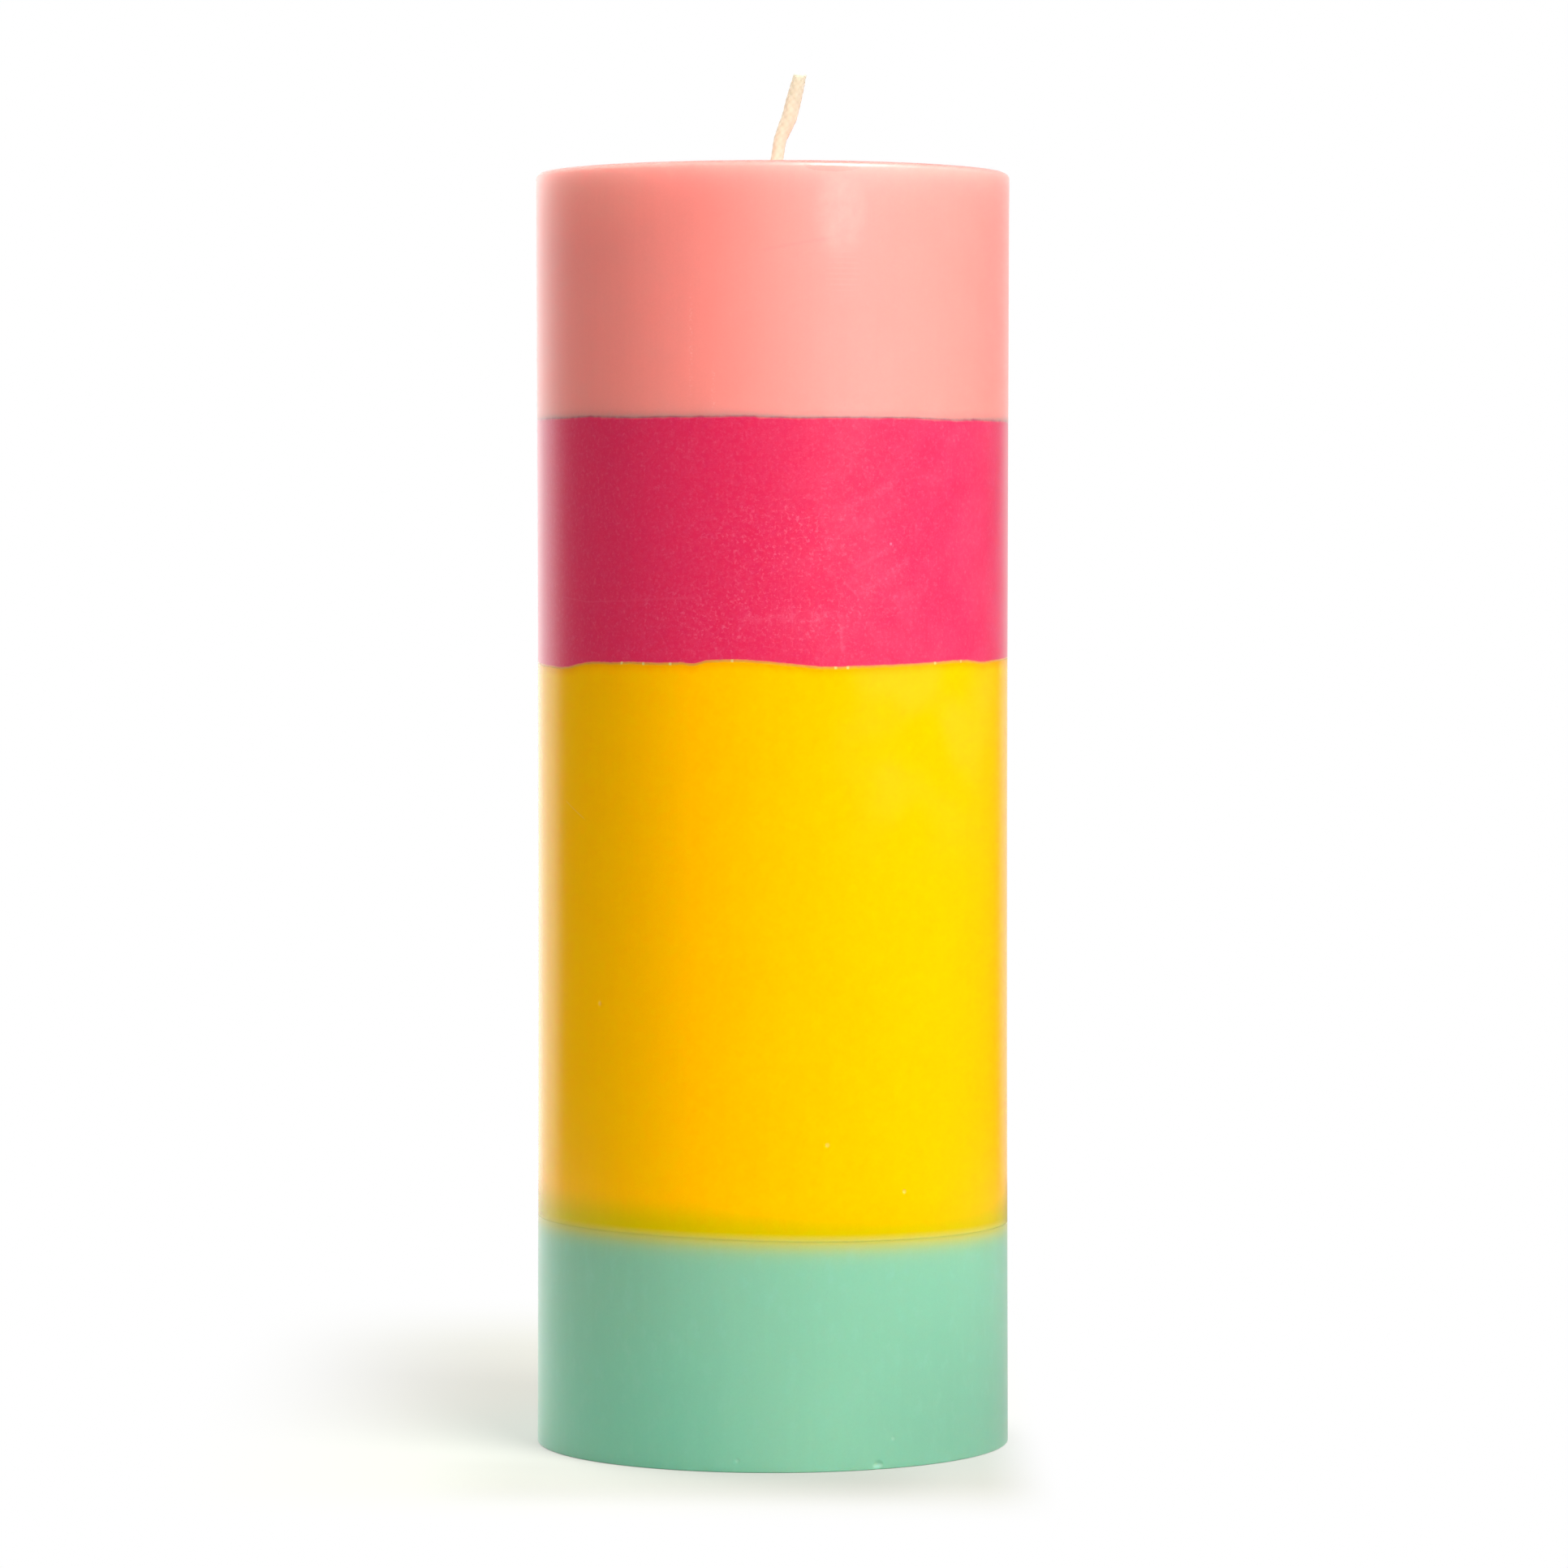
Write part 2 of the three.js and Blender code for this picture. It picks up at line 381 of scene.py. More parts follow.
class Shade:
    """The node tree of a material or of the world."""

    def __init__(self, tree):
        self.tree = tree

    def node(self, kind, settings=None, output=0, **values):
        """Adds a node, makes its settings, then fills its sockets by number or by name."""
        node = self.tree.nodes.new(kind)
        for name, value in (settings or {}).items():
            setattr(node, name, value)
        for name, value in values.items():
            key = int(name[1:]) if name[0] == "n" and name[1:].isdigit() else name
            self.fill(node.inputs[key], value)
        return Wire(self, node.outputs[output])

    def fill(self, socket, value):
        """Gives a socket its value, or links a wire to it."""
        if isinstance(value, Wire):
            self.tree.links.new(value.socket, socket)
        else:
            socket.default_value = value

    def finish(self, shader, values):
        """Fills the sockets of a shader by name."""
        for name, value in values.items():
            self.fill(shader.inputs[name], value)

    def math(self, operation, *values):
        """A Math node on wires and numbers."""
        numbered = {f"n{index}": value for index, value in enumerate(values)}
        return self.node("ShaderNodeMath", {"operation": operation}, **numbered)

    def size_of(self, value):
        """A value without its sign."""
        return self.math("ABSOLUTE", value)

    def smooth(self, value, low, high):
        """0 up to low and 1 from high, or the other way round where high is the lower one."""
        if high < low:
            return 1 - self.smooth(value, high, low)
        settings = {"interpolation_type": "SMOOTHSTEP"}
        limits = {"From Min": low, "From Max": high}
        return self.node("ShaderNodeMapRange", settings, Value=value, **limits)

    def band(self, value, rise, fall):
        """1 between two soft edges, each from where it is 0 to where it is 1."""
        return self.smooth(value, *rise) * self.smooth(value, *fall)

    def mix(self, share, first, second, blend="MIX"):
        """A colour between two, or a blend of the second over the first."""
        settings = {"data_type": "RGBA", "blend_type": blend}
        return self.node("ShaderNodeMix", settings, output=2, n0=share, n6=first, n7=second)

    def grey(self, value):
        """A colour whose three parts are one value."""
        return self.node("ShaderNodeCombineColor", Red=value, Green=value, Blue=value)

    def stretch(self, vector, scale):
        """A vector times another."""
        settings = {"operation": "MULTIPLY"}
        return self.node("ShaderNodeVectorMath", settings, n0=vector, n1=scale)

    def noise(self, vector, scale, detail=2, roughness=0.5):
        """Noise from 0 to 1, mostly between 0.3 and 0.7."""
        values = {"Vector": vector, "Scale": scale, "Detail": detail, "Roughness": roughness}
        return self.node("ShaderNodeTexNoise", {"normalize": True}, **values)

    def bump(self, height, depth, strength=1.0):
        """The normal of a surface whose height of 0 to 1 spans a depth in millimetres."""
        return self.node("ShaderNodeBump", Strength=strength, Distance=depth * MM, Height=height)


def new_material(name):
    """A material, with its node tree and its Principled shader."""
    material = bpy.data.materials.new(name)
    material.use_nodes = True
    shade = Shade(material.node_tree)
    return material, shade, material.node_tree.nodes["Principled BSDF"]


class Surface:
    """The point on the candle that a shader colours, in millimetres. Its place is the angle from the
    front, in radians, and its arc the length that this angle spans on the wall."""

    def __init__(self, shade):
        self.shade = shade
        metres = shade.node("ShaderNodeTexCoord", output="Object")
        self.point = shade.stretch(metres, (1 / MM, 1 / MM, 1 / MM))
        self.x = shade.node("ShaderNodeSeparateXYZ", Vector=self.point)
        split = self.x.socket.node
        self.y = Wire(shade, split.outputs[1])
        self.height = Wire(shade, split.outputs[2])
        self.place = shade.math("ARCTAN2", self.x, -1 * self.y)
        self.arc = self.place * candle_radius
        self.side = self.x / candle_radius  # from -1 at the candle's left edge to 1 at its right
        radius = shade.math("SQRT", self.x * self.x + self.y * self.y)
        self.on_wall = shade.smooth(radius, candle_radius - wall_fade, candle_radius - wall_skin)

    def above(self, seam):
        """The height over a seam at this place round the candle."""
        level = seam["height"]
        for crests, size, crest in seam["waves"]:
            angle = crests * self.place - math.radians(crest) * crests
            level = level + size * self.shade.math("COSINE", angle)
        for middle, half_width, depth in seam["notches"]:
            off = self.shade.size_of(self.place - math.radians(middle))
            level = level - depth * self.shade.smooth(off, math.radians(half_width), 0)
        return self.height - level

    def near(self, place, height, reach):
        """1 at a point of the wall, falling to 0 at a reach in millimetres across and up."""
        across = (self.arc - math.radians(place) * candle_radius) / reach[0]
        up = (self.height - height) / reach[1]
        return self.on_wall * self.shade.smooth(across * across + up * up, 1, 0)

    def mark(self, start, end, width):
        """1 along a straight mark on the wall between two points, each a place and a height."""
        run = math.radians(end[0] - start[0]) * candle_radius
        rise = end[1] - start[1]
        length = math.hypot(run, rise)
        cos, sin = run / length, rise / length
        across = self.arc - math.radians((start[0] + end[0]) / 2) * candle_radius
        up = self.height - (start[1] + end[1]) / 2
        along = self.shade.size_of(across * cos + up * sin)
        aside = self.shade.size_of(up * cos - across * sin)
        line = self.shade.smooth(aside, width / 2, 0)
        return line * self.shade.smooth(along, length / 2, length / 2.8)


# Marks on the wax, places in degrees and heights in millimetres

scratches = [  # start, end, width and how pale
    ((-62.4, 133.7), (-50, 132.9), 0.4, 0.6),
    ((-52, 132.9), (-36, 133.1), 0.4, 0.6),
    ((-38, 133.1), (-18, 133.7), 0.7, 0.5),
    ((4.4, 136.5), (4.8, 127.4), 0.5, 0.4),
    ((16.4, 129.8), (16.8, 124.8), 0.8, 0.8),
    ((16.7, 136.3), (21.1, 133.5), 0.6, 0.6),
    ((18.6, 137.8), (30, 141.4), 1, 0.5),
]
smears = [
    ((15, 146.3), (31.5, 151.6), 2.4, 1),
    ((16.7, 143.6), (33, 148.4), 3, 0.5),
    ((20.7, 133.8), (35.5, 139.9), 2.6, 1),
    ((23, 129.9), (36, 134.9), 3, 0.5),
    ((-10, 129.9), (17, 131.3), 3, 0.7),
    ((8, 130.2), (17.5, 130.2), 4.5, 0.6),
    ((11.8, 148.6), (11.8, 144), 1, 0.6),
    ((13.8, 142.4), (14.2, 135.6), 2.4, 0.4),
]
bloom_patches = [(1, 142.5, (14, 8), 0.7), (-7, 131, (24, 6), 0.6)]  # with their reach and strength
magenta_dots = [(29.2, 141.8, 0.17), (53.3, 137.5, 0.07), (11.6, 148.8, 0.04), (-13, 149.3, 0.06)]
dot_radius = 0.3
seam_dots = [-38.6, -32.2, -24.9, -9.5, 15.1, 18.1, 42.4, 51.7]

# A painted highlight in a cloud, a comb of short dashes, a magenta hair and two columns of specks in
# the pink, each with its reach or its width, and the trace of a hair in the yellow
pink_painted_highlight = (16, 192, (5, 8))
pink_comb = (17, 183, (3.5, 4.5))
pink_hair = ((-4, 186.2), (15.8, 188.5), 0.9)
pink_columns = [(-13.9, 165, (0.5, 5)), (-19.5, 172, (0.4, 12))]
yellow_hair = ((-60.4, 102.2), (-51, 99.2), 0.35)

# Pits in the wall, each a place, a height and how pale it is, and the nick in the foot
yellow_pits = [(13.1, 50.1, 0.15), (33.1, 42.5, 0.15), (-46, 71, 0.12)]
mint_pits = [(29.8, 4.6, 0.12), (-8.4, 1.8, 0.12)]
pit_reach = 0.6
pit_depth = 0.1
foot_nick = (25.8, 0.6)
nick_reach = 1.1
nick_depth = 0.25

# Where the rim is polished by handling, and how far from there across and up
rim_polish = (14.5, candle_height - 0.7, (6.5, 1.5))


def marked(surface, colour, marks, white, strength):
    """A colour with pale straight marks."""
    shade = surface.shade
    for start, end, width, share in marks:
        mark = surface.mark(start, end, width) * strength
        colour = shade.mix(share * mark, colour, white)
    return colour


def dotted(surface, colour, dots, radius, white):
    """A colour with small dots, each a place, a height and how pale it is."""
    for place, height, share in dots:
        dot = surface.near(place, height, (radius, radius))
        colour = surface.shade.mix(share * dot, colour, white)
    return colour


def frosted(surface, colour):
    """The magenta wax with its bloom, which is thickest in two patches, its smears and its dots, and a
    painted sheen that whitens its right side. Gives the colour and the bloom's specks, which also dull
    the wax."""
    shade = surface.shade
    white = linear((255, 215, 240))
    patches = 0.8
    for place, height, reach, share in bloom_patches:
        patches = patches + share * surface.near(place, height, reach)
    specks = shade.smooth(shade.noise(surface.point, 1.7, detail=3, roughness=0.7), 0.5, 0.74)
    mottle = shade.smooth(shade.noise(surface.point, 1.1, detail=4, roughness=0.85), 0.43, 0.62)
    drift = shade.smooth(shade.noise(surface.point, 0.16, detail=2), 0.35, 0.68)
    painted_sheen_side = shade.smooth(surface.side, -0.2, 0.34)
    # Painted sheen whitens the right side, over the bloom
    bloom = patches * specks * 0.075 + 0.02 * mottle + (0.008 + 0.02 * drift) * painted_sheen_side
    colour = shade.mix(bloom, colour, white)
    colour = marked(surface, colour, smears, white, 0.014 + 0.028 * mottle)
    colour = marked(surface, colour, scratches, white, 0.05)
    return dotted(surface, colour, magenta_dots, dot_radius, white), patches * specks


def pale_pink(surface, colour):
    """The pink wax, with painted light that warms its upper left and pales its thin rim, a painted
    highlight right of the middle and in a cloud under the rim, a comb of short dashes, a magenta hair
    and two columns of specks."""
    shade = surface.shade
    white = linear((255, 226, 218))
    lit_through = linear((255, 214, 204))
    # Painted light: the thin rim is made paler, most on the left, as if lit through the wax from the top
    painted_rim_light = shade.math("EXPONENT", (surface.height - candle_height) / 1.9)
    painted_rim_light = painted_rim_light * shade.smooth(surface.height, candle_height + 0.9, candle_height - 0.6)
    painted_rim_light = painted_rim_light * (0.45 + 0.4 * shade.smooth(surface.side, 0.2, -0.85)) * surface.on_wall
    # Painted light warms the upper left
    painted_warm_light = shade.smooth(surface.height, candle_height - 14, candle_height - 2)
    painted_warm_light = painted_warm_light * shade.smooth(surface.side, -0.3, -0.68) * surface.on_wall
    # Painted highlight of the key light, in a band right of the middle
    middle = shade.band(surface.side, (-0.4, 0.1), (1, 0.55))
    colour = shade.mix(painted_warm_light, colour, linear((255, 149, 138)))
    colour = shade.mix(painted_rim_light + 0.08 * middle, colour, lit_through)

    # Painted highlight of the key light, in a cloud under the rim
    painted_highlight = surface.near(*pink_painted_highlight) * shade.noise(surface.point, 0.5, detail=3)
    dashes = shade.smooth(shade.math("SINE", surface.height * 7.5), 0.2, 0.9)
    comb = surface.near(*pink_comb) * dashes
    colour = shade.mix(0.2 * painted_highlight + 0.03 * comb, colour, white)
    colour = shade.mix(0.05 * surface.mark(*pink_hair), colour, linear(MAGENTA))
    columns = sum(surface.near(*column) for column in pink_columns)
    specks = shade.smooth(shade.noise(surface.point, 3, detail=2), 0.52, 0.66)
    return shade.mix(0.14 * columns * specks, colour, white)


def clouded_yellow(surface, colour):
    """The yellow wax, with a painted reflection of the key light in drifts near its top on the right, a
    hair's trace and pits.
    """
    shade = surface.shade
    white = linear((255, 236, 190))
    # Painted reflection of the key light near the top on the right
    painted_reflection = shade.smooth(surface.height, 88, 118) * shade.smooth(surface.side, 0.2, 0.48)
    drift = shade.noise(surface.point, 0.09, detail=1)
    colour = shade.mix(0.016 * painted_reflection * shade.smooth(drift, 0.3, 0.7), colour, white)
    colour = shade.mix(0.1 * surface.mark(*yellow_hair), colour, white)
    return dotted(surface, colour, yellow_pits, 0.45, white)


def mottled_mint(surface, colour):
    """The mint wax, mottled by slow cooling, with painted shade towards the foot, pale pits above the
    foot and a nick in its edge.
    """
    shade = surface.shade
    # Painted shade: the wax is darker towards the foot, in red on its left and in green and blue on its
    # right
    low = shade.smooth(surface.height, 34, 4)
    left = shade.smooth(surface.side, 0.1, -0.48)
    right = shade.smooth(surface.side, 0.2, 0.82)
    colour = shade.mix(low * left, colour, linear((118, 185, 157)))
    colour = shade.mix(low * right, colour, linear((120, 173, 147)))
    mottle = shade.noise(shade.stretch(surface.point, (1, 1, 0.6)), 0.45, detail=3, roughness=0.6)
    mottled = (0.5 - 0.28 * low) * shade.smooth(mottle, 0.5, 0.75)
    colour = shade.mix(mottled, colour, linear((134, 190, 168)))
    white = linear((224, 244, 232))
    colour = dotted(surface, colour, mint_pits, 0.4, white)
    return shade.mix(0.25 * surface.near(*foot_nick, (nick_reach, 0.5)), colour, white)


def at_pink_seam(surface, layer, colour):
    """The colour where the pink and the magenta meet in a soft, rippled edge. The pink just above it is
    tinged a little darker, towards the magenta."""
    shade = surface.shade
    magenta = linear(MAGENTA)
    low, high = (magenta, colour) if layer == "pink" else (colour, linear(PINK))
    above = surface.above(pink_magenta_seam)
    ripple = 0.6 * (shade.noise(surface.point, 0.6, detail=2) - 0.5)
    high = shade.mix(0.1 * shade.smooth(above, 1.6, 0.1), high, magenta)
    return shade.mix(shade.smooth(above + ripple, -0.35, 0.3), low, high)


def at_yellow_seam(surface, layer, colour):
    """The colour where the magenta and the yellow meet in a sharp edge, with a bright line along it
    that has paler dots. The yellow just below it is darker and more orange."""
    shade = surface.shade
    low, high = (colour, linear(MAGENTA)) if layer == "yellow" else (linear(YELLOW), colour)
    above = surface.above(magenta_yellow_seam)
    above = above + 0.22 * (shade.noise(surface.point, 1.1) - 0.5)
    low = shade.mix(0.55 * shade.smooth(above, -1.7, 0), low, linear((240, 150, 0)))
    colour = shade.mix(shade.smooth(above, -0.05, 0.15), low, high)
    line = shade.smooth(shade.size_of(above), 0.3, 0.1)
    colour = shade.mix(0.75 * line, colour, linear((252, 160, 66)))
    for place in seam_dots:
        dot = surface.near(place, magenta_yellow_seam["height"] - 0.1, (dot_radius, 3))
        colour = shade.mix(0.6 * dot * line, colour, linear((255, 226, 150)))
    return colour


def at_mint_seam(surface, layer, colour):
    """The colour where the yellow runs into the mint over a few millimetres, by way of a green."""
    shade = surface.shade
    low, high = (linear(MINT), colour) if layer == "yellow" else (colour, linear(YELLOW))
    above = surface.above(yellow_mint_seam)
    high = shade.mix(shade.smooth(above, 8, 0.5), high, linear((203, 180, 0)))
    drop = shade.math("MAXIMUM", 1.25 - above, 0)
    colour = shade.mix(1 - shade.math("EXPONENT", drop * drop * -0.15), high, low)
    if layer == "yellow":
        # Painted sheen: the yellow is whitened near the seam to match the hazier mint
        colour = shade.mix(0.035 * shade.smooth(above, 1.3, -0.1), colour, WHITE)
    return colour


def wax_colour(surface, layer):
    """The colour of one layer, blended into its neighbours at the seams, and its bloom if it has one."""
    bloom = None
    if layer == "pink":
        colour = pale_pink(surface, linear(PINK))
    if layer == "magenta":
        colour, bloom = frosted(surface, linear(MAGENTA))
    if layer == "yellow":
        colour = clouded_yellow(surface, linear(YELLOW))
    if layer == "mint":
        colour = mottled_mint(surface, linear(MINT))

    if layer in ("pink", "magenta"):
        colour = at_pink_seam(surface, layer, colour)
    if layer in ("magenta", "yellow"):
        colour = at_yellow_seam(surface, layer, colour)
    if layer in ("yellow", "mint"):
        colour = at_mint_seam(surface, layer, colour)
    return colour, bloom


def wax(layer, roughness, gloss=0.5, tint=WHITE, haze=0, depth=0.6, spread=(1, 0.55, 0.4)):
    """Smooth wax, slightly translucent, faintly clouded and streaked from the mould. The gloss is the
    strength of its reflection and the tint its colour, and the haze is the frost seen along the
    surface. The depth is how far light wanders in the wax, in millimetres, and the spread is the share
    of it that red, green and blue go."""
    material, shade, shader = new_material(f"{layer}_wax")
    surface = Surface(shade)
    colour, bloom = wax_colour(surface, layer)

    clouds = shade.noise(surface.point, 0.05, detail=2)
    streaks = shade.noise(shade.stretch(surface.point, (1, 1, 0.06)), 0.6, detail=3, roughness=0.6)
    grain = shade.noise(surface.point, 3.2, detail=2, roughness=0.7)
    light = 0.95 + 0.05 * clouds + 0.05 * streaks + 0.075 * (grain - 0.5)
    dull = roughness + 0.06 * (clouds - 0.5) + 0.05 * (grain - 0.5)
    if bloom:
        dull = dull + 0.05 * bloom
    if layer == "pink":
        # Painted shade darkens the round of the rim, polished where it was handled, and the open top is
        # duller
        painted_rim_shade = shade.smooth(surface.height, candle_height - rim_round, candle_height + rim_round)
        light = light * (1 - surface.on_wall * painted_rim_shade)
        dull = dull - 0.22 * surface.near(*rim_polish) + 0.25 * (1 - surface.on_wall)

    values = {
        "Base Color": shade.mix(1.0, colour, shade.grey(light), blend="MULTIPLY"),
        "Roughness": dull,
        "Normal": shade.bump(grain + 0.6 * streaks, 0.02, 0.25),
        "IOR": wax_ior,
        "Specular IOR Level": gloss,
        "Specular Tint": tint,
        "Sheen Weight": haze,
        "Sheen Roughness": 0.3,
        "Subsurface Weight": 1.0,
        "Subsurface Radius": spread,
        "Subsurface Scale": depth * MM,
    }
    shade.finish(shader, values)
    return material


def waxed_cotton():
    """Cotton strands under a coat of wax, a little darker in the braid's gaps, along its two narrow
    sides and near and on the cut end, with painted shade on the side towards the key light."""
    material, shade, shader = new_material("waxed_cotton_braid")
    surface = Surface(shade)
    gap, soaked, cut = (
        shade.node("ShaderNodeAttribute", {"attribute_name": name}, output=2) for name in wick_marks
    )
    fibre = shade.noise(shade.stretch(surface.point, (1, 1, 0.3)), 9, detail=3, roughness=0.6)
    drift = shade.smooth(shade.noise(surface.point, 0.8, detail=2), 0.35, 0.65)
    colour = shade.mix(drift, linear((206, 205, 184)), linear((199, 198, 176)))
    colour = shade.mix(0.6 * soaked, colour, linear((160, 163, 144)))
    colour = shade.mix(0.4 * gap, colour, linear((166, 164, 143)))
    colour = shade.mix(0.15 * shade.smooth(fibre, 0.45, 0.7), colour, linear((190, 175, 154)))
    values = {
        "Base Color": shade.mix(0.7 * cut, colour, linear((148, 134, 124))),
        "Roughness": 0.42 + 0.2 * fibre + 0.2 * cut,
        "Normal": shade.bump(fibre, 0.02, 0.35),
        "IOR": wax_ior,
        "Subsurface Weight": 1.0,
        "Subsurface Radius": (1.0, 1.0, 1.0),
        "Subsurface Scale": 2.5 * MM,
    }
    shade.finish(shader, values)
    return material


def tinned_steel():
    """Rolled sheet with a bright coat of tin, duller where the stamp has rubbed it."""
    material, shade, shader = new_material("tinned_steel")
    surface = Surface(shade)
    rolled = shade.noise(shade.stretch(surface.point, (0.15, 4, 0.5)), 2.5, detail=4)
    rubbed = shade.smooth(shade.noise(surface.point, 0.7, detail=3), 0.5, 0.65)
    colour = shade.mix(rolled, linear((206, 208, 209)), linear((180, 182, 185)))
    values = {
        "Base Color": shade.mix(0.35 * rubbed, colour, linear((158, 158, 156))),
        "Roughness": 0.24 + 0.14 * rolled + 0.14 * rubbed,
        "Normal": shade.bump(rolled, 0.01, 0.3),
        "Metallic": 1,
    }
    shade.finish(shader, values)
    return material


# Pieces


def plain_layer(low_seam, high_seam):
    """The ring of a layer that lies between two others."""
    low, high = low_seam["height"], high_seam["height"]
    outline = [(bore_radius, low), (candle_radius, low), (candle_radius, high), (bore_radius, high)]
    return wax_ring(outline, low_seam, high_seam, low, high)


def mint_layer():
    """The foot of the candle, with the recess for the sustainer under it."""
    high = yellow_mint_seam["height"]
    outline = [
        (bore_radius, pocket_top),
        (pocket_radius, pocket_top),
        (pocket_radius, recess_top),
        (recess_radius, recess_top),
        (recess_radius, recess_bevel),
        (recess_radius + recess_bevel, 0),
        *arc((candle_radius - foot_round, foot_round), foot_round, -90, 0, 5),
        (candle_radius, high),
        (bore_radius, high),
    ]
    ring = wax_ring(outline, None, yellow_mint_seam, 0, high)
    pitted(ring, mint_pits)
    press(ring, *foot_nick, nick_reach, nick_depth)
    material = wax("mint", 0.32, haze=0.36)
    return finished("mint_wax_layer", ring, material, "mint_layer")


def yellow_layer():
    """The tallest layer, glossier than the others."""
    ring = plain_layer(yellow_mint_seam, magenta_yellow_seam)
    pitted(ring, yellow_pits)
    material = wax("yellow", 0.2, tint=(1, 0.8, 0, 1))
    return finished("yellow_wax_layer", ring, material, "yellow_layer")


def magenta_layer():
    """The frosted layer."""
    ring = plain_layer(magenta_yellow_seam, pink_magenta_seam)
    material = wax("magenta", 0.3, haze=0.45)
    return finished("magenta_wax_layer", ring, material, "magenta_layer")


def pink_layer():
    """The top layer: a level ring leads from its rounded rim to the dip, where the wax rises in a
    collar that grips the wick."""
    low = pink_magenta_seam["height"]
    rim = arc((candle_radius - rim_round, candle_height - rim_round), rim_round, 0, 90, 8)
    land = candle_radius - rim_round - rim_land
    collar = bore_radius + collar_width
    grip = wick_thickness / 2 - wax_grip
    dip_runs, collar_runs = 12, 6
    outline = [(bore_radius, low), (candle_radius, low), *rim]
    for run in range(dip_runs + 1):
        inwards = run / dip_runs
        radius = land + (collar - land) * inwards
        outline.append((radius, candle_height - top_dip * (1 - math.cos(math.pi * inwards)) / 2))
    for run in range(1, collar_runs + 1):
        inwards = run / collar_runs
        outline.append((collar + (grip - collar) * inwards, dip_height + collar_rise * inwards**2))
    outline.append((grip, wax_top - grip_depth))
    outline.append((bore_radius, wax_top - grip_depth - 1))
    ring = wax_ring(outline, pink_magenta_seam, None, low, candle_height - rim_round)
    material = wax("pink", 0.38, gloss=0.75, haze=0.5, depth=1.4, spread=(2.6, 0.8, 0.75))
    return finished("pink_wax_layer", ring, material, "pink_layer")


def wick_middle(height):
    """How far the middle of the wick stands towards +X at a height, and its slope there."""
    across, slope, before, start = 0, 0, 0, wax_top
    for length, lean in wick_stretches:
        turn = math.tan(math.radians(lean)) - before
        past = max(0, (height - start) / bend_softness + 0.5)
        across += turn * (bend_softness * past**2 / 2 if past < 1 else height - start)
        slope += turn * min(1, past)
        before += turn
        start += length * math.cos(math.radians(lean))
    return across, slope


def wick_swell(height):
    """How much wider the wick is out of the wax, most where the braid opens out above its bend."""
    free = height - wax_top
    opened = eased(free, *opening) * eased(free, *closing)
    return free_swell * eased(free, 0, 2) + open_swell * opened


def braid_gap(turn, height):
    """How deep the surface of the braid lies at a point of its round, from 0 on a crest to 1. Strands
    wind both ways, each over one and under the next, and wax has run into the gaps."""
    one = strands_each_way * (turn / math.tau + height / braid_pitch)
    other = strands_each_way * (turn / math.tau - height / braid_pitch)
    levels = [wax_fill]
    for winding, crossing, side in ((one, other, 1), (other, one, -1)):
        aside = 2 * (winding - round(winding))
        weave = side * math.cos(math.pi * (crossing - round(winding)))
        levels.append(strand_bulge * math.sqrt(max(0, 1 - aside**2)) + strand_lift * weave)
    top = strand_melt * math.log(sum(math.exp(level / strand_melt) for level in levels))
    return max(0, min(1, (strand_bulge + strand_lift - top) / braid_depth))


def wick_rod():
    """An upright rod of unit size, cut into rows along its length and into rings on its cut end."""
    rod = bmesh.new()
    bmesh.ops.create_cone(rod, cap_ends=True, segments=wick_sides, radius1=1, radius2=1, depth=1)
    bmesh.ops.translate(rod, vec=(0, 0, 0.5), verts=rod.verts)
    upright = [edge for edge in rod.edges if abs(edge.verts[0].co.z - edge.verts[1].co.z) > 0.5]
    bmesh.ops.subdivide_edges(rod, edges=upright, cuts=wick_rows - 1)
    cut_end = [face for face in rod.faces if face.calc_center_median().z > 0.9999]
    for ring in range(end_rings):
        bmesh.ops.inset_region(rod, faces=cut_end, thickness=end_ring_width, use_even_offset=True)
    return rod


def wick():
    """The rod with its rows moved onto the bent wick and pressed in between its strands."""
    rod = wick_rod()
    for name in wick_marks:
        rod.verts.layers.float.new(name)
    gap_layer, sides_tip_and_painted_shade_layer, cut_layer = (rod.verts.layers.float[name] for name in wick_marks)
    hidden_top = wax_top - grip_depth
    for vert in rod.verts:
        share = vert.co.z
        on_end = share > 0.9999
        turn = math.atan2(vert.co.y, vert.co.x)
        outwards = min(1, math.hypot(vert.co.x, vert.co.y))
        height = wick_bottom + (hidden_top - wick_bottom) * min(1, share / hidden_rows)
        height += (wick_top - hidden_top) * max(0, share - hidden_rows) / (1 - hidden_rows)
        across, slope = wick_middle(height)
        gap = braid_gap(turn, height) * eased(height, wax_top - 0.5, wax_top + bare_from)
        drawn_in = gap * braid_depth + trim_squeeze * eased(height, wick_top - 0.2, wick_top)
        half_width = (wick_width + wick_swell(height)) / 2 * math.hypot(1, slope) - drawn_in
        half_thickness = wick_thickness / 2 - drawn_in
        vert.co.x = across + outwards * half_width * math.cos(turn)
        vert.co.y = outwards * half_thickness * math.sin(turn)
        if on_end:
            # The strands end unevenly under the blade
            from_end = noise.voronoi(Vector((vert.co.x, vert.co.y, 0)) * 2.4)[0][0]
            height -= fray * min(1, from_end**2 * 2.5)
        vert.co.z = height
        edge = eased(abs(math.cos(turn)), 0.75, 1)
        # Painted shade on the side towards the key light
        painted_key_side_shade = eased(math.cos(turn), -0.3, 0.8)
        tip = eased(height, wick_top - 0.6, wick_top)
        vert[gap_layer] = gap
        vert[sides_tip_and_painted_shade_layer] = max(0.8 * edge, painted_key_side_shade, 0.7 * tip)
        vert[cut_layer] = eased(outwards, 1, 0.8) if on_end else 0
    bmesh.ops.recalc_face_normals(rod, faces=rod.faces)
    return finished("braided_wick", rod, waxed_cotton(), "wick")


